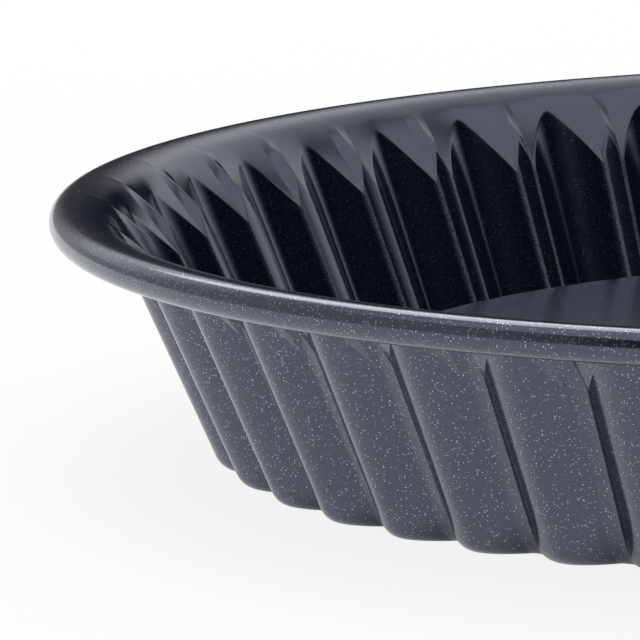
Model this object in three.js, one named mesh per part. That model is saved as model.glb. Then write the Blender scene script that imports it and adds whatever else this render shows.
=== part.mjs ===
// A fluted sponge flan tin: a pressed ring with a wired rim, and a loose base with a raised centre.
// Millimetres, +Z up, standing on z = 0 with the tin's axis on Z. A flute's crest lies on +X.
import * as THREE from "three";

// Driving dimensions of the ring
const rimRadius = 150; // outside of the rolled rim
const overallHeight = 42; // table to the top of the rim
const sheet = 0.8; // thickness of the pressed steel
const flangeWidth = 6.6; // from the top of the rim inwards to the heads of the flutes
const flangeBend = 16; // radius of the flange's arc, which is level on top of the rim
const crestInset = 0.52; // from the flange's inner edge in to a flute's crest line, at the same height
const wallDraft = 23.3; // degrees that a flute's crest line leans out from upright
const fluteCount = 46;
const footDepth = 4.7; // a flute's crest line to the ridge beside it, at the foot
const topDepth = 3.7; // the same at the flange
const fluteBow = 1.75; // 1 for flutes that are V-shaped across, 2 for round ones
const ridgeWidth = 3.6; // flat inner face of a ridge, at its foot
const creaseArch = 38; // height of the crease under a flute's head, on the crest line
const creaseFoot = 29; // at the edges of a ridge
const creasePoint = 34.5; // in the middle of a ridge
const creaseBow = 1.4; // 1 for a crease that is straight from arch to foot, more for a rounder one
const footFillet = 3.4; // inside bend from the wall to the ledge
const ledgeWidth = 8.6; // flat ledge that carries the loose base

// Driving dimensions of the rim's wire and curl
const wireDiameter = 3.1;
const wireClearance = 0.4; // all round the wire
const curlWrap = 240; // degrees of wire that the sheet goes round, from the top outwards

// Driving dimensions of the loose base
const plateauHeight = 13.4; // table to the top of the raised centre
const plateauDraft = 20; // degrees that the raised centre's side leans in
const plateauFillet = 3; // outside bend at the raised centre's edge
const seatClearance = 0.2; // under the base's brim
const brimClearance = 0.6; // round the base's brim
const brimWidth = 7.8; // from the brim's edge to the raised centre's foot

// Steps of the facets
const roundSteps = 2 * fluteCount; // round the axis on plain stretches
const curlSteps = 6; // along the curl's section
const wireSides = 8;
const bendSteps = 3; // along each bend
const flankShare = 0.62; // a flute's flank corners, as a share of the way from its crest to its ridge

// Colours and finish: dark slate enamel, bare steel wire
const enamel = { color: 0x3b3e4b, roughness: 0.28, metalness: 0.1 };
const steel = { color: 0x9a9b9d, roughness: 0.4, metalness: 1 };

const radians = THREE.MathUtils.degToRad;
const quarterTurn = Math.PI / 2;
const fullTurn = 2 * Math.PI;

// A place on the tin's section: radius from the axis, and height
const place = (radius, height) => new THREE.Vector2(radius, height);
const onCircle = (centre, radius, angle) =>
  place(centre.x + radius * Math.cos(angle), centre.y + radius * Math.sin(angle));
function arc(centre, radius, from, to, steps) {
  const point = (_, i) => onCircle(centre, radius, from + ((to - from) * i) / steps);
  return Array.from({ length: steps + 1 }, point);
}

// The rim: its curl is centred on the wire
const curlInside = wireDiameter / 2 + wireClearance;
const curlOutside = curlInside + sheet;
const wireCentre = place(rimRadius - curlOutside, overallHeight - curlOutside);

// The flange is an arc. Share is 0 on top of the rim and 1 at the flange's inner edge
const flangeCentre = place(wireCentre.x, overallHeight - flangeBend);
const flangeSweep = Math.asin(flangeWidth / flangeBend);
const flangePlace = (share, depth) =>
  onCircle(flangeCentre, flangeBend - depth, quarterTurn + share * flangeSweep);
const flangeEdge = flangePlace(1, 0);

// The wall's inner face is straight up to the crease. Share is 0 on a flute's crest and 1 on a ridge
const crestRun = Math.tan(radians(wallDraft));
const crestRadius = (z) => flangeEdge.x - crestInset - (flangeEdge.y - z) * crestRun;
const fluteDepth = (z) => THREE.MathUtils.mapLinear(z, sheet, flangeEdge.y, footDepth, topDepth);
const wallPlace = (z, share) => place(crestRadius(z) - fluteDepth(z) * share ** fluteBow, z);
const fluteHalfAngle = Math.PI / fluteCount - ridgeWidth / 2 / wallPlace(sheet, 1).x;

// The inner bend from the ledge to the wall follows the flutes
function bendPlace(step, share) {
  const foot = wallPlace(sheet, share);
  const lean = quarterTurn - wallPlace(flangeEdge.y, share).sub(foot).angle();
  const centre = place(foot.x - footFillet * Math.tan((quarterTurn - lean) / 2), sheet + footFillet);
  return arc(centre, footFillet, -quarterTurn, -lean, bendSteps)[step];
}
const ledgeEdge = bendPlace(0, 1).x;
const holeRadius = ledgeEdge - ledgeWidth;

// Stations round the axis. A flute has six: three on its ridges, two on its flanks and one on its crest
const roundStations = Array.from({ length: roundSteps }, (_, i) => ({ angle: (i * fullTurn) / roundSteps }));
const fluteStations = [];
for (let flute = 0; flute < fluteCount; flute++) {
  const middle = (flute * fullTurn) / fluteCount;
  for (const side of [-1, -flankShare, 0, flankShare, 1]) {
    const share = Math.abs(side);
    const crease = creaseArch - (creaseArch - creaseFoot) * share ** creaseBow;
    fluteStations.push({ angle: middle + side * fluteHalfAngle, share, crease });
  }
  fluteStations.push({ angle: middle + Math.PI / fluteCount, share: 1, crease: creasePoint });
}

// A ring of points, one at each station
function ring(stations, placeAt) {
  const points = stations.map((station) => {
    const at = placeAt(station);
    return new THREE.Vector3(at.x * Math.cos(station.angle), at.x * Math.sin(station.angle), at.y);
  });
  return { stations, points };
}
const roundRing = (at) => ring(roundStations, () => at);
const fluteRing = (placeAt) => ring(fluteStations, placeAt);

// The ring on the sheet's other face, square to the slope between the rings below and above
function throughSheet(below, { stations, points }, above) {
  const count = points.length;
  const moved = points.map((point, i) => {
    const along = points[(i + 1) % count].clone().sub(points[(i + count - 1) % count]);
    const up = above.points[i].clone().sub(below.points[i]);
    return point.clone().addScaledVector(along.cross(up).normalize(), sheet);
  });
  return { stations, points: moved };
}

// Triangles between two rings, always on to the point that comes next round the axis
function stitch(lower, upper, indices) {
  const count = (one) => one.stations.length;
  const angle = (one, i) => (i < count(one) ? one.stations[i].angle : one.stations[0].angle + fullTurn);
  const corner = (one, i) => one.start + (i % count(one));
  let i = 0;
  let j = 0;
  while (i < count(lower) || j < count(upper)) {
    const lowerIsNext = i < count(lower) && angle(lower, i + 1) <= angle(upper, j + 1);
    const onLower = lowerIsNext || j === count(upper);
    const next = onLower ? corner(lower, i + 1) : corner(upper, j + 1);
    indices.push(corner(lower, i), corner(upper, j), next);
    if (onLower) i++;
    else j++;
  }
}

// A closed skin over rings that go once round the section, up the inside and down the outside
function skin(rings) {
  const points = [];
  for (const one of rings) {
    one.start = points.length;
    points.push(...one.points);
  }
  const indices = [];
  rings.forEach((one, i) => stitch(one, rings[(i + 1) % rings.length], indices));
  return new THREE.BufferGeometry().setFromPoints(points).setIndex(indices);
}

// The ring: ledge, bend, fluted wall, flange and the curl round the wire
function flutedRingGeometry() {
  const flangeMiddle = fluteRing(() => flangePlace(0.5, 0));
  const inside = [];
  for (let step = 0; step <= bendSteps; step++) {
    inside.push(fluteRing(({ share }) => bendPlace(step, share)));
  }
  inside.push(fluteRing(({ crease, share }) => wallPlace(crease, share)), fluteRing(() => flangeEdge));
  const outside = [fluteRing(({ share }) => place(bendPlace(0, share).x, 0))];
  for (let i = 1; i < inside.length; i++) {
    outside.push(throughSheet(inside[i - 1], inside[i], inside[i + 1] ?? flangeMiddle));
  }

  const curlEnd = quarterTurn - radians(curlWrap);
  const rim = [
    flangePlace(0.5, 0),
    ...arc(wireCentre, curlOutside, quarterTurn, curlEnd, curlSteps),
    ...arc(wireCentre, curlInside, curlEnd, quarterTurn, curlSteps),
    flangePlace(0.5, sheet),
  ];
  return skin([
    roundRing(place(holeRadius, 0)),
    roundRing(place(holeRadius, sheet)),
    ...inside,
    ...rim.map(roundRing),
    ...outside.reverse(),
  ]);
}

// The wire that stiffens the rim
function rimWireGeometry() {
  const section = arc(wireCentre, wireDiameter / 2, 0, fullTurn, wireSides);
  return new THREE.LatheGeometry(section, roundSteps).rotateX(quarterTurn);
}

// The loose base: a raised centre, open below, with a brim that lies on the ledge
function looseBaseGeometry() {
  const lean = radians(plateauDraft);
  const brimUnder = sheet + seatClearance;
  const brimTop = brimUnder + sheet;
  const brimEdge = ledgeEdge - brimClearance;
  const sideFoot = brimEdge - brimWidth;
  const sideHead = sideFoot - (plateauHeight - brimTop) * Math.tan(lean);
  const halfCorner = Math.tan((quarterTurn - lean) / 2);
  const headCentre = place(sideHead - plateauFillet * halfCorner, plateauHeight - plateauFillet);
  const profile = [
    place(0, plateauHeight - sheet),
    ...arc(headCentre, plateauFillet - sheet, quarterTurn, lean, bendSteps),
    place(sideFoot - sheet * halfCorner, brimUnder),
    place(brimEdge, brimUnder),
    place(brimEdge, brimTop),
    place(sideFoot, brimTop),
    ...arc(headCentre, plateauFillet, lean, quarterTurn, bendSteps),
    place(0, plateauHeight),
  ];
  return new THREE.LatheGeometry(profile, roundSteps).rotateX(quarterTurn);
}

function piece(name, geometry, finish) {
  geometry.computeVertexNormals();
  const mesh = new THREE.Mesh(geometry, new THREE.MeshStandardMaterial(finish));
  mesh.name = name;
  return mesh;
}

const tin = new THREE.Group();
tin.add(piece("fluted_ring", flutedRingGeometry(), enamel));
tin.add(piece("rim_wire", rimWireGeometry(), steel));
tin.add(piece("loose_base", looseBaseGeometry(), enamel));

export default tin;
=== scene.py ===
import math
import bpy
import numpy as np
from mathutils import Matrix, Vector


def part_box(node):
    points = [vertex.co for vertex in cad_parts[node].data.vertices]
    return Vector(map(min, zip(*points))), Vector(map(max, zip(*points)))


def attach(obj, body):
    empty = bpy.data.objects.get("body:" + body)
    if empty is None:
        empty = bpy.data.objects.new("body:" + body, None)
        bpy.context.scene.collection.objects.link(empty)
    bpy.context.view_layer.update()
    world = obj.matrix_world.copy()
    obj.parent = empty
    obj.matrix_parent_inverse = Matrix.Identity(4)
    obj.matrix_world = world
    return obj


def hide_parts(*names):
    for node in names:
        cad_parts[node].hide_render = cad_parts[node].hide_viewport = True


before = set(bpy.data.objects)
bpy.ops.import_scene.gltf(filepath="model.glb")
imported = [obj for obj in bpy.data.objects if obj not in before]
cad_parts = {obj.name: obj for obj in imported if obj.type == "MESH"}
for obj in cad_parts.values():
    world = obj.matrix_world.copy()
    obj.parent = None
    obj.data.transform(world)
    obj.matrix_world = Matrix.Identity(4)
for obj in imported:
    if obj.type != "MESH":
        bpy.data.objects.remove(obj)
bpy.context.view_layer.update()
mm = 0.001
print("frame loaded")

# sizes that the CAD solids give, in millimetres
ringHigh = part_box("fluted_ring")[1]
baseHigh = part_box("loose_base")[1]

# fluted ring, in millimetres
ring = {
    "rimRadius": ringHigh[0] / mm,
    "height": ringHigh[2] / mm,
    "sheet": 0.8,
    "beadRadius": 2.75,
    "curlWrap": 240,           # degrees that the rim curls round its wire
    "flangeBend": 16,          # radius of the flange's arc, level on top of the rim
    "flangeSlope": 48,         # its steepest slope, degrees
    "wallEdge": (140.0, 40.2), # crest line of the flutes meets the flange here
    "draft": 23.3,             # wall from upright, degrees
    "flutes": 46,
    "fluteDepth": (4.7, 3.7),  # at the foot and at the wall's edge
    "fluteBow": 1.75,          # power of a flute's section across
    "ridgeRadius": 10.0,       # rounding of a ridge's face
    "ridgeHalf": 2.0,          # middle of a ridge to its edge
    "headFoot": 29.0,          # a head starts here, at the edge of a ridge
    "headArch": 38.0,          # and here in the middle of a flute
    "headPoint": 34.5,         # a ridge runs out here
    "headEdge": 140.65,        # the heads run up to this radius, on the flange
    "headBow": 1.4,            # 1 for a crease that is straight from arch to foot, more for a rounder one
    "headSlope": 50,           # a head's slope at the flange, degrees
    "footFillet": 3.4,
    "holeRadius": 107.5,
    "midRadius": 131.0,        # where the section across a flute is true
    "edgeRound": (0.07, 0.07), # softness of the ridges' edges, inside and outside
    "creaseRound": (0.04, 0.03),
    "flangeRound": (0.5, 0.4),
    "pivot": (112.0, 66.0),    # a place above the channel that sees the whole wall
}


def fluteStations():
    half = [0, .1, .2, .3, .4, .5, .58, .64, .68, .705, .722, .735, .745, .755, .765, .775, .785, .795]
    half += [.81, .84, .88, .92, .96]
    shares = np.concatenate([[-1], -np.array(half[:0:-1]), half])
    pitch = 2 * math.pi / ring["flutes"]
    turns = np.arange(ring["flutes"])[:, None] * pitch + shares[None, :] * pitch / 2
    return turns.ravel(), np.tile(shares, ring["flutes"])


turns, shares = fluteStations()
halfPitch = math.pi / ring["flutes"] * ring["midRadius"]
across = np.abs(shares) * halfPitch


def softMax(parts, softness):
    stack = np.stack(parts)
    top = stack.max(0)
    return top + softness * np.log(np.exp((stack - top) / softness).sum(0))


# straight lines up the wall and up a head at each station: a radius, run over rise, and the radius's height
def wallLines(side):
    offset = side * ring["sheet"]
    edge, top = ring["wallEdge"]
    crestRun = math.tan(math.radians(ring["draft"]))
    chord = halfPitch - ring["ridgeHalf"]
    away = halfPitch - across
    levels = []
    for height, deep in zip((ring["sheet"], top), ring["fluteDepth"]):
        crest = edge - (top - height) * crestRun
        depth = deep - ring["ridgeHalf"] ** 2 / (2 * ring["ridgeRadius"])
        flute = crest - depth * (across / chord) ** ring["fluteBow"]
        ridge = crest - deep + np.minimum(away, 2 * ring["ridgeHalf"]) ** 2 / (2 * ring["ridgeRadius"])
        fluteSlope = ring["fluteBow"] * depth / chord * (across / chord) ** (ring["fluteBow"] - 1)
        fluteThick = offset * np.hypot(1, np.hypot(crestRun, fluteSlope))
        ridgeThick = offset * np.hypot(1, np.hypot(crestRun, away / ring["ridgeRadius"]))
        levels.append(softMax([flute + fluteThick, ridge + ridgeThick], ring["edgeRound"][side]))
    wall = levels[1]
    run = (levels[1] - levels[0]) / (top - ring["sheet"])
    down = np.minimum(across / chord, 1) ** ring["headBow"]
    arch = ring["headArch"] - (ring["headArch"] - ring["headFoot"]) * down
    point = ring["headPoint"] - (ring["headPoint"] - ring["headFoot"]) * away / ring["ridgeHalf"]
    crease = np.where(across < chord, arch, point)
    bend = ring["flangeBend"]
    sunk = math.asin((ring["rimRadius"] - ring["beadRadius"] - ring["headEdge"]) / bend)
    lean = (sunk + math.radians(ring["headSlope"])) / 2
    head = ring["headEdge"] + offset * math.sin(lean)
    headTop = ring["height"] - bend * (1 - math.cos(sunk)) - offset * math.cos(lean)
    flare = (head - wall + (top - crease) * run) / (headTop - crease)
    return (wall, run, top), (head, flare, headTop), crease


# bend from the ledge up to the wall
def footPlaces(side, steps=7):
    offset = side * ring["sheet"]
    (radius, run, top), _, _ = wallLines(side)
    floor = ring["sheet"] - offset
    wall = radius - (top - floor) * run
    bend = ring["footFillet"] + offset
    sweep = math.pi / 2 - np.arctan(run)
    centre = wall - bend * np.tan(sweep / 2)
    places = []
    for step in range(steps + 1):
        turn = sweep * step / steps - math.pi / 2
        places.append((centre + bend * np.cos(turn), floor + bend + bend * np.sin(turn)))
    return places


# rays from a point above the channel find the wall and the flange, with rows that follow the heads' creases
def wallPlaces(side):
    pivot = ring["pivot"]
    offset = side * ring["sheet"]
    wall, head, creaseHeight = wallLines(side)
    beadCentre = ring["rimRadius"] - ring["beadRadius"]
    arcCentre = (beadCentre, ring["height"] - ring["flangeBend"])
    arcRadius = ring["flangeBend"] - offset
    slope = math.radians(ring["flangeSlope"])
    lipRadius = beadCentre - arcRadius * math.sin(slope)
    lipHeight = arcCentre[1] + arcRadius * math.cos(slope)

    def lineReach(line, rayRun, rayRise):
        radius, run, height = line
        return (radius + run * (pivot[1] - height) - pivot[0]) / (rayRun - run * rayRise)

    def reachOf(ray):
        rayRun, rayRise = np.cos(ray), np.sin(ray)
        toCentre = (arcCentre[0] - pivot[0], arcCentre[1] - pivot[1])
        along = rayRun * toCentre[0] + rayRise * toCentre[1]
        room = along ** 2 - (toCentre[0] ** 2 + toCentre[1] ** 2 - arcRadius ** 2)
        onArc = along - np.sqrt(np.maximum(room, 0))
        lip = lineReach((lipRadius, 1 / math.tan(slope), lipHeight), rayRun, rayRise)
        isArc = (room > 0) & (pivot[1] + onArc * rayRise > lipHeight)
        flange = np.where(isArc, onArc, lip)
        sides = [lineReach(line, rayRun, rayRise) for line in (wall, head)]
        return softMax([softMax(sides, ring["creaseRound"][side]), flange], ring["flangeRound"][side])

    def rayTo(radius, height):
        return np.arctan2(height - pivot[1], radius - pivot[0])

    low = rayTo(*footPlaces(side)[-1])
    crease = rayTo(wall[0] - (wall[2] - creaseHeight) * wall[1], creaseHeight)
    end = rayTo(beadCentre, ring["height"] - offset)
    lower = np.concatenate([np.linspace(0, .9, 14)[1:], [.94, .965, .98, .99, 1]])
    upper = np.concatenate([[.02, .04, .07, .11], np.linspace(.16, 1, 30)])
    rays = [low + (crease - low) * share for share in lower]
    rays += [crease + (end - crease) * share for share in upper]
    places = []
    for ray in rays:
        reach = reachOf(ray)
        places.append((pivot[0] + reach * np.cos(ray), pivot[1] + reach * np.sin(ray)))
    return places


def roundRow(radius, height, angles):
    radius, height = radius + 0 * angles, height + 0 * angles
    return np.stack([radius * np.cos(angles), radius * np.sin(angles), height], 1) * mm


def skin(name, places, angles, closed=True):
    rows = [roundRow(radius, height, angles) for radius, height in places]
    index = np.arange(len(rows) * len(angles)).reshape(len(rows), -1)
    lower = index if closed else index[:-1]
    upper = np.roll(index, -1, 0) if closed else index[1:]
    quads = np.stack([lower, np.roll(lower, -1, 1), np.roll(upper, -1, 1), upper], -1).reshape(-1, 4)
    faces = quads[:, ::-1].tolist()
    if not closed:
        faces += [index[0].tolist(), index[-1][::-1].tolist()]
    mesh = bpy.data.meshes.new(name)
    mesh.from_pydata(np.concatenate(rows).tolist(), [], faces)
    mesh.shade_smooth()
    piece = bpy.data.objects.new(name, mesh)
    bpy.context.scene.collection.objects.link(piece)
    return piece


def arcPlaces(centre, radius, start, end, steps):
    angles = np.linspace(math.radians(start), math.radians(end), steps + 1)
    return [(centre[0] + radius * math.cos(angle), centre[1] + radius * math.sin(angle)) for angle in angles]


def buildRing():
    sheet, bead = ring["sheet"], ring["beadRadius"]
    inside = footPlaces(0) + wallPlaces(0)
    outside = footPlaces(1) + wallPlaces(1)
    centre = (ring["rimRadius"] - bead, ring["height"] - bead)
    end = 90 - ring["curlWrap"]
    curl = arcPlaces(centre, bead, 90, end, 30)[1:] + arcPlaces(centre, bead - sheet, end, 90, 18)[:-1]
    ledge = [(ring["holeRadius"], 0), (ring["holeRadius"], sheet)]
    return skin("pressed_ring", ledge + inside + curl + outside[::-1], turns)


pressedRing = buildRing()
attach(pressedRing, "tin")
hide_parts("fluted_ring")
print("ring built", len(pressedRing.data.polygons))

# wire inside the rim's curl
wire = {"radius": 1.55, "around": 20, "along": 276}


def buildWire():
    centre = (ring["rimRadius"] - ring["beadRadius"], ring["height"] - ring["beadRadius"])
    section = arcPlaces(centre, wire["radius"], 360, 0, wire["around"])[:-1]
    return skin("edge_wire", section, np.arange(wire["along"]) * 2 * math.pi / wire["along"])


edgeWire = buildWire()
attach(edgeWire, "tin")
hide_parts("rim_wire")

# loose base with its raised centre
base = {
    "top": baseHigh[2] / mm,
    "brimEdge": baseHigh[0] / mm,
    "brimUnder": 1.0,
    "brimWidth": 7.8,
    "sheet": 0.8,
    "sideDraft": 20,
    "headFillet": 3.0,
    "footFillet": 1.6,
    "along": 276,
}


def buildBase():
    draft = math.radians(base["sideDraft"])
    sheet = base["sheet"]
    brimTop = base["brimUnder"] + sheet
    sideFoot = base["brimEdge"] - base["brimWidth"]
    sideHead = sideFoot - (base["top"] - brimTop) * math.tan(draft)
    half = math.tan((math.pi / 2 - draft) / 2)
    head = (sideHead - base["headFillet"] * half, base["top"] - base["headFillet"])
    foot = (sideFoot + base["footFillet"] * half, brimTop + base["footFillet"])
    edge = (base["brimEdge"] - sheet / 2, brimTop - sheet / 2)
    lean = base["sideDraft"]
    middle = [12, 30, 50, 70, 86, 95]
    over = [(radius, base["top"]) for radius in middle]
    over += arcPlaces(head, base["headFillet"], 90, lean, 10)
    over += arcPlaces(foot, base["footFillet"], 180 + lean, 270, 8)
    over += arcPlaces(edge, sheet / 2, 90, -90, 8)
    under = arcPlaces(foot, base["footFillet"] + sheet, 270, 180 + lean, 8)
    under += arcPlaces(head, base["headFillet"] - sheet, lean, 90, 10)
    under += [(radius, base["top"] - sheet) for radius in middle[::-1]]
    angles = np.arange(base["along"]) * 2 * math.pi / base["along"]
    return skin("raised_base", over + under, angles, closed=False)


raisedBase = buildBase()
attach(raisedBase, "base")
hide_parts("loose_base")
print("wire and base built")


bumpDepth = 0.00001


def link(tree, out, into):
    tree.links.new(out, into)


def calc(tree, operation, *values):
    node = tree.nodes.new("ShaderNodeMath")
    node.operation = operation
    for socket, value in zip(node.inputs, values):
        if isinstance(value, (int, float)):
            socket.default_value = value
        else:
            link(tree, value, socket)
    return node.outputs[0]


def vectorCalc(tree, operation, first, second=None):
    node = tree.nodes.new("ShaderNodeVectorMath")
    node.operation = operation
    link(tree, first, node.inputs[0])
    into = node.inputs["Scale" if operation == "SCALE" else 1]
    if isinstance(second, tuple):
        into.default_value = second
    elif second is not None:
        link(tree, second, into)
    return node.outputs["Value" if operation in ("DOT_PRODUCT", "LENGTH") else "Vector"]


def split(tree, vector):
    node = tree.nodes.new("ShaderNodeSeparateXYZ")
    link(tree, vector, node.inputs["Vector"])
    return [node.outputs[axis] for axis in "XYZ"]


def fromAxis(tree, x, y):
    return calc(tree, "SQRT", calc(tree, "ADD", calc(tree, "MULTIPLY", x, x), calc(tree, "MULTIPLY", y, y)))


def roughen(tree, height, strength):
    node = tree.nodes.new("ShaderNodeBump")
    node.inputs["Strength"].default_value = strength
    node.inputs["Distance"].default_value = bumpDepth
    link(tree, height, node.inputs["Height"])
    return node


def newMaterial(name):
    material = bpy.data.materials.new(name)
    material.use_nodes = True
    return material, material.node_tree


def fade(tree, value, start, end, low=0.0, high=1.0):
    node = tree.nodes.new("ShaderNodeMapRange")
    node.interpolation_type = "SMOOTHSTEP"
    for name, number in zip(("From Min", "From Max", "To Min", "To Max"), (start, end, low, high)):
        node.inputs[name].default_value = number
    link(tree, value, node.inputs["Value"])
    return node.outputs["Result"]


def blend(tree, share, first, second):
    node = tree.nodes.new("ShaderNodeMix")
    node.data_type = "RGBA"
    link(tree, share, node.inputs["Factor"])
    for name, value in (("A", first), ("B", second)):
        socket = [one for one in node.inputs if one.name == name and one.type == "RGBA"][0]
        if isinstance(value, tuple):
            socket.default_value = (*value, 1)
        else:
            link(tree, value, socket)
    return [one for one in node.outputs if one.type == "RGBA"][0]


def noise(tree, place, scale, detail=2.0):
    node = tree.nodes.new("ShaderNodeTexNoise")
    if isinstance(scale, (int, float)):
        node.inputs["Scale"].default_value = scale
    else:
        link(tree, scale, node.inputs["Scale"])
    node.inputs["Detail"].default_value = detail
    link(tree, place, node.inputs["Vector"])
    return node.outputs["Fac"]


def newGroup(name, inputs, outputs):
    tree = bpy.data.node_groups.new(name, "ShaderNodeTree")
    for title in inputs:
        tree.interface.new_socket(name=title, in_out="INPUT", socket_type="NodeSocketFloat")
    for title, kind in outputs.items():
        tree.interface.new_socket(name=title, in_out="OUTPUT", socket_type="NodeSocket" + kind)
    given = tree.nodes.new("NodeGroupInput").outputs
    place = tree.nodes.new("ShaderNodeTexCoord").outputs["Object"]
    return tree, given, tree.nodes.new("NodeGroupOutput"), place


# dark slate enamel, glossy, with fine bright flecks, and a painted highlight on the edges of the inner
# ridges: a lighter colour, rougher and sandy
slate = {
    "base": (0.004, 0.0072, 0.019),
    "tint": (0.73, 0.785, 1.0),
    "ior": 1.96,
    "roughness": 0.15,
    "fleckScale": 2500,        # flecks about 0.4 mm apart
    "fleckSize": (0.40, 0.14), # where a fleck's edge starts and ends, in shares of its cell
    "fleckColor": (0.50, 0.52, 0.60),
    "fleckTone": (0.2, 1.0),   # how much the flecks differ in strength
    "fleckTilt": 0.12,
    "fleckShadedInside": 0.15,       # painted shade: share of the flecks kept on the inner wall, as if they caught no light there
    "grain": 2600,
    "ripple": 420,
    # painted highlight: this lighter colour and a higher roughness lie on the edges of the inner ridges
    "highlightColor": (0.115, 0.12, 0.145),
    "highlightEdge": (1.15, 1.45, 2.7),    # millimetres from the middle of a ridge
    "highlightRadius": (0.1165, 0.1175),   # the painted highlight starts here, outwards, in metres
    "highlightHeight": (0.034, 0.029),     # and fade out upwards between these
    "highlightRoughness": 0.4,
    "innerFace": (-0.15, -0.3),       # outward share of the normal, from the outside to the inside
    "sand": (0.3, 0.7, 0.45, 1.0),
    "rippleStrength": 0.5,
}


def flecks():
    outputs = {"Amount": "Float", "Normal": "Vector"}
    tree, given, out, place = newGroup("enamel_flecks", ("Scale", "Tilt"), outputs)
    cells = tree.nodes.new("ShaderNodeTexVoronoi")
    link(tree, given["Scale"], cells.inputs["Scale"])
    link(tree, place, cells.inputs["Vector"])
    tone = tree.nodes.new("ShaderNodeSeparateColor")
    link(tree, cells.outputs["Color"], tone.inputs["Color"])
    dot = fade(tree, cells.outputs["Distance"], *slate["fleckSize"])
    amount = calc(tree, "MULTIPLY", dot, fade(tree, tone.outputs["Red"], *slate["fleckTone"]))
    facing = tree.nodes.new("ShaderNodeNewGeometry").outputs["Normal"]
    lean = vectorCalc(tree, "SUBTRACT", cells.outputs["Color"], (0.5, 0.5, 0.5))
    tilt = calc(tree, "MULTIPLY", amount, given["Tilt"])
    normal = vectorCalc(tree, "ADD", facing, vectorCalc(tree, "SCALE", lean, tilt))
    link(tree, amount, out.inputs["Amount"])
    link(tree, vectorCalc(tree, "NORMALIZE", normal), out.inputs["Normal"])
    return tree


# painted highlight on the edges of the inner ridges, placed by where a point sits round the flutes, on the
# inner face only, broken up by a sandy noise
def ridgeEdgeHighlight():
    tree, given, out, place = newGroup("painted_ridge_highlight", ("Grain",), {"Amount": "Float", "Inner": "Float"})
    x, y, z = split(tree, place)
    flute = calc(tree, "MULTIPLY", calc(tree, "ARCTAN2", y, x), ring["flutes"] / (2 * math.pi))
    offRidge = calc(tree, "SUBTRACT", calc(tree, "FRACT", flute), 0.5)
    away = calc(tree, "MULTIPLY", calc(tree, "ABSOLUTE", offRidge), 2 * halfPitch)
    start, full, end = slate["highlightEdge"]
    edge = calc(tree, "MULTIPLY", fade(tree, away, start, full), fade(tree, away, end, full))
    radius = fromAxis(tree, x, y)
    normalX, normalY, _ = split(tree, tree.nodes.new("ShaderNodeNewGeometry").outputs["Normal"])
    outward = calc(tree, "ADD", calc(tree, "MULTIPLY", normalX, x), calc(tree, "MULTIPLY", normalY, y))
    inner = fade(tree, calc(tree, "DIVIDE", outward, radius), *slate["innerFace"])
    outside, below = fade(tree, radius, *slate["highlightRadius"]), fade(tree, z, *slate["highlightHeight"])
    onWall = calc(tree, "MULTIPLY", outside, below)
    sand = fade(tree, noise(tree, place, given["Grain"]), *slate["sand"])
    onEdge = calc(tree, "MULTIPLY", edge, inner)
    amount = calc(tree, "MULTIPLY", onEdge, calc(tree, "MULTIPLY", onWall, sand))
    link(tree, amount, out.inputs["Amount"])
    link(tree, inner, out.inputs["Inner"])
    return tree


def addGroup(tree, group, **values):
    node = tree.nodes.new("ShaderNodeGroup")
    node.node_tree = group
    for name, value in values.items():
        node.inputs[name].default_value = value
    return node.outputs


def enamel(name, groups):
    material, tree = newMaterial(name)
    shader = tree.nodes["Principled BSDF"]
    fleck = addGroup(tree, groups[0], Scale=slate["fleckScale"], Tilt=slate["fleckTilt"])
    highlight = addGroup(tree, groups[1], Grain=slate["grain"])
    # painted highlight: the edges of the inner ridges take the lighter colour
    highlighted = blend(tree, highlight["Amount"], slate["base"], slate["highlightColor"])
    # painted shade: most flecks are left out on the inner face
    fleckShade = fade(tree, highlight["Inner"], 0, 1, 1.0, slate["fleckShadedInside"])
    shown = calc(tree, "MULTIPLY", fleck["Amount"], fleckShade)
    link(tree, blend(tree, shown, highlighted, slate["fleckColor"]), shader.inputs["Base Color"])
    link(tree, shown, shader.inputs["Metallic"])
    rough = fade(tree, highlight["Amount"], 0, 1, slate["roughness"], slate["highlightRoughness"])
    link(tree, rough, shader.inputs["Roughness"])
    place = tree.nodes.new("ShaderNodeTexCoord").outputs["Object"]
    bump = roughen(tree, noise(tree, place, slate["ripple"]), slate["rippleStrength"])
    link(tree, fleck["Normal"], bump.inputs["Normal"])
    link(tree, bump.outputs["Normal"], shader.inputs["Normal"])
    shader.inputs["Specular Tint"].default_value = (*slate["tint"], 1)
    shader.inputs["IOR"].default_value = slate["ior"]
    return material


# bare steel with fine lines along the wire
steel = {
    "color": (0.5, 0.5, 0.51),
    "lines": 9000,
    "stretch": 0.0015,         # along the wire, metres of pattern for each radian
    "roughness": (0.26, 0.46),
    "lineStrength": 0.4,
}


def drawnSteel():
    material, tree = newMaterial("drawn_steel")
    shader = tree.nodes["Principled BSDF"]
    x, y, z = split(tree, tree.nodes.new("ShaderNodeTexCoord").outputs["Object"])
    along = tree.nodes.new("ShaderNodeCombineXYZ")
    link(tree, fromAxis(tree, x, y), along.inputs["X"])
    link(tree, z, along.inputs["Y"])
    link(tree, calc(tree, "MULTIPLY", calc(tree, "ARCTAN2", y, x), steel["stretch"]), along.inputs["Z"])
    lines = noise(tree, along.outputs["Vector"], steel["lines"], 3.0)
    link(tree, fade(tree, lines, 0.3, 0.7, *steel["roughness"]), shader.inputs["Roughness"])
    link(tree, roughen(tree, lines, steel["lineStrength"]).outputs["Normal"], shader.inputs["Normal"])
    shader.inputs["Base Color"].default_value = (*steel["color"], 1)
    shader.inputs["Metallic"].default_value = 1
    return material


enamelGroups = (flecks(), ridgeEdgeHighlight())
pressedRing.data.materials.append(enamel("slate_enamel", enamelGroups))
raisedBase.data.materials.append(enamel("slate_base_enamel", enamelGroups))
edgeWire.data.materials.append(drawnSteel())
print("finishes made")

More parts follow.
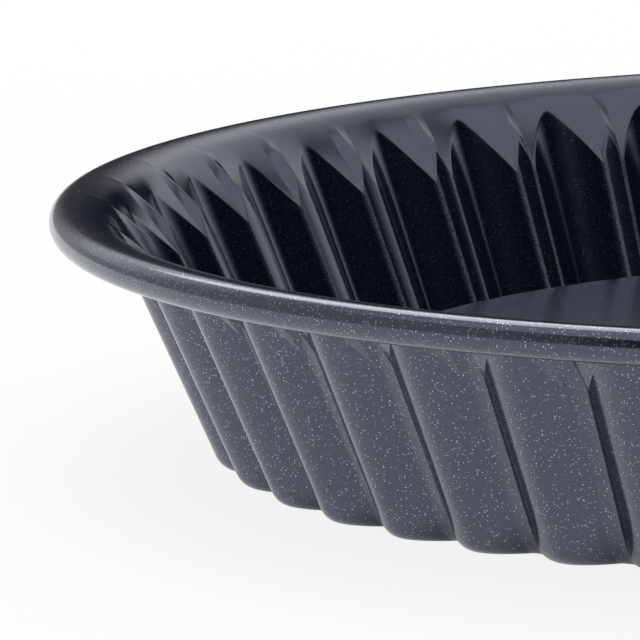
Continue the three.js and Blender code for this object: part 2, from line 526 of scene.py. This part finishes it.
# camera, in the photograph's frame turned to the flutes' places
view = {
    "distance": 1.2762,
    "elevation": 8.720,
    "turn": 2.583,
    "pan": 4.761,
    "tilt": -0.854,
    "roll": -0.390,
    "aimHeight": 0.0394,
    "lens": 438.81,
}


def placeCamera():
    elevation = math.radians(view["elevation"])
    back = Vector((0, -math.cos(elevation), math.sin(elevation)))
    right = Vector((1, 0, 0))
    up = Vector((0, math.sin(elevation), math.cos(elevation)))
    pan = Matrix.Rotation(math.radians(view["pan"]), 3, up)
    right, aim = pan @ right, pan @ back
    tilt = Matrix.Rotation(math.radians(view["tilt"]), 3, right)
    up, aim = tilt @ up, tilt @ aim
    roll = Matrix.Rotation(math.radians(view["roll"]), 3, aim)
    right, up = roll @ right, roll @ up
    facing = Matrix((right, up, aim)).transposed().to_4x4()
    place = Matrix.Translation(back * view["distance"] + Vector((0, 0, view["aimHeight"])))
    camera = bpy.data.objects.new("camera", bpy.data.cameras.new("camera"))
    camera.data.lens = view["lens"]
    camera.data.sensor_width = 36
    camera.data.clip_end = 40
    camera.matrix_world = Matrix.Rotation(math.radians(view["turn"]), 4, "Z") @ place @ facing
    bpy.context.scene.collection.objects.link(camera)
    bpy.context.scene.camera = camera


placeCamera()
print("camera placed")

# studio: a pale ceiling in front, a softer glow and a softbox behind, a pale wall on the left
studio = {
    "ceiling": {
        "height": 2.2,
        "middle": (0.3, 2.0),
        "half": (2.7, 4.7),
        "edge": (1.03, 0.97),   # softness of its outline
        "fall": (0.3, 1.5),     # it fades out towards the back between these
        "glow": 1.08,
    },
    "behind": {
        "glow": 1.0,
        "high": 0.8,            # glow above the fall
        "rise": (3, 16),        # degrees up, from dark to full
        "fall": (28, 42),
        "lift": 0.14,           # the rise starts this much higher straight behind
        "lifted": (0.75, 1.0),
        "sides": (0.1, 0.8),
    },
    "softbox": {"azimuth": 114, "elevation": 48, "distance": 1.9, "size": (0.95, 1.2), "glow": 2.6},
    "wall": {"azimuth": 168, "edge": (0.30, 0.75), "glow": 0.55},
    "dim": 0.008,
}


def areaLamp(name, place, aim, size, glow):
    lamp = bpy.data.lights.new(name, "AREA")
    lamp.shape = "RECTANGLE"
    lamp.size, lamp.size_y = size
    lamp.energy = glow * math.pi * size[0] * size[1]
    holder = bpy.data.objects.new(name, lamp)
    holder.location = place
    holder.rotation_euler = (Vector(aim) - Vector(place)).to_track_quat("-Z", "Y").to_euler()
    bpy.context.scene.collection.objects.link(holder)


def towards(azimuth, elevation):
    turn, rise = math.radians(azimuth), math.radians(elevation)
    return Vector((math.cos(turn) * math.cos(rise), math.sin(turn) * math.cos(rise), math.sin(rise)))


def lightStudio():
    ceiling, behind, box, wall = (studio[part] for part in ("ceiling", "behind", "softbox", "wall"))
    boxPlace = towards(box["azimuth"], box["elevation"]) * box["distance"]
    areaLamp("softbox", boxPlace, (0, 0, 0.03), box["size"], box["glow"])

    world = bpy.data.worlds.new("studio")
    world.use_nodes = True
    tree = world.node_tree
    place = tree.nodes.new("ShaderNodeTexCoord").outputs["Generated"]
    x, y, z = split(tree, place)

    # where a direction meets the ceiling, and whether that is within its rounded outline
    reach = calc(tree, "DIVIDE", ceiling["height"], calc(tree, "MAXIMUM", z, 0.02))
    spot = [calc(tree, "MULTIPLY", side, reach) for side in (x, y)]
    out = []
    for along, middle, half in zip(spot, ceiling["middle"], ceiling["half"]):
        share = calc(tree, "DIVIDE", calc(tree, "SUBTRACT", along, middle), half)
        out.append(calc(tree, "MULTIPLY", share, share))
    inside = fade(tree, calc(tree, "ADD", *out), *ceiling["edge"])
    front = calc(tree, "MULTIPLY", inside, fade(tree, spot[1], *ceiling["fall"], ceiling["glow"], 0.0))

    facing = calc(tree, "DIVIDE", y, fromAxis(tree, x, y))
    rear = fade(tree, facing, *behind["sides"])
    lifted = calc(tree, "SUBTRACT", z, fade(tree, facing, *behind["lifted"], 0.0, behind["lift"]))
    rise, fall = ([math.sin(math.radians(angle)) for angle in behind[part]] for part in ("rise", "fall"))
    low = fade(tree, lifted, *rise)
    high = fade(tree, z, *fall, behind["glow"], behind["high"])
    back = calc(tree, "MULTIPLY", rear, calc(tree, "MULTIPLY", low, high))

    leftward = vectorCalc(tree, "DOT_PRODUCT", place, tuple(towards(wall["azimuth"], 0)))
    side = fade(tree, leftward, *wall["edge"], 0.0, wall["glow"])
    brightest = calc(tree, "MAXIMUM", front, calc(tree, "MAXIMUM", back, side))
    total = calc(tree, "ADD", brightest, studio["dim"])
    background = tree.nodes["Background"]
    link(tree, total, background.inputs["Strength"])
    background.inputs["Color"].default_value = (1, 1, 1, 1)
    bpy.context.scene.world = world


lightStudio()

# pale floor, white to the camera, with the tin's soft shadow on it, and a painted shadow that makes it dark
# in reflections close to the foot
ground = {
    "reach": 9,
    "paint": 0.8,
    "glow": 0.87,
    "shade": 0.13,
    "contact": (0.117, 0.127), # painted shadow: reflections of the floor go from dark to pale between these radii
    "contactGlow": (0.35, 0.97),
}


def buildFloor():
    reach = ground["reach"]
    mesh = bpy.data.meshes.new("floor")
    corners = [(-reach, -reach, 0), (reach, -reach, 0), (reach, reach, 0), (-reach, reach, 0)]
    mesh.from_pydata(corners, [], [(0, 1, 2, 3)])
    piece = bpy.data.objects.new("floor", mesh)
    bpy.context.scene.collection.objects.link(piece)
    material, tree = newMaterial("floor_paint")
    tree.nodes.remove(tree.nodes["Principled BSDF"])
    out = tree.nodes["Material Output"]
    paint = tree.nodes.new("ShaderNodeBsdfDiffuse")
    paint.inputs["Color"].default_value = (ground["paint"],) * 3 + (1,)
    glow = tree.nodes.new("ShaderNodeEmission")
    glow.inputs["Color"].default_value = (1, 1, 1, 1)
    shade = tree.nodes.new("ShaderNodeBsdfDiffuse")
    shade.inputs["Color"].default_value = (ground["shade"],) * 3 + (1,)
    seen = tree.nodes.new("ShaderNodeAddShader")
    link(tree, glow.outputs[0], seen.inputs[0])
    link(tree, shade.outputs[0], seen.inputs[1])
    path = tree.nodes.new("ShaderNodeLightPath").outputs
    place = tree.nodes.new("ShaderNodeTexCoord").outputs["Object"]
    nearby = fade(tree, vectorCalc(tree, "LENGTH", place), *ground["contact"], *ground["contactGlow"])
    mirrored = calc(tree, "MULTIPLY", path["Is Glossy Ray"], calc(tree, "SUBTRACT", nearby, ground["glow"]))
    link(tree, calc(tree, "ADD", mirrored, ground["glow"]), glow.inputs["Strength"])
    mirrorRay = calc(tree, "MAXIMUM", path["Is Glossy Ray"], path["Is Transmission Ray"])
    direct = calc(tree, "MAXIMUM", path["Is Camera Ray"], mirrorRay)
    mix = tree.nodes.new("ShaderNodeMixShader")
    link(tree, direct, mix.inputs["Fac"])
    link(tree, paint.outputs[0], mix.inputs[1])
    link(tree, seen.outputs[0], mix.inputs[2])
    link(tree, mix.outputs[0], out.inputs["Surface"])
    mesh.materials.append(material)
    return piece


buildFloor()
print("studio lit")

bpy.context.scene.view_settings.view_transform = "Standard"
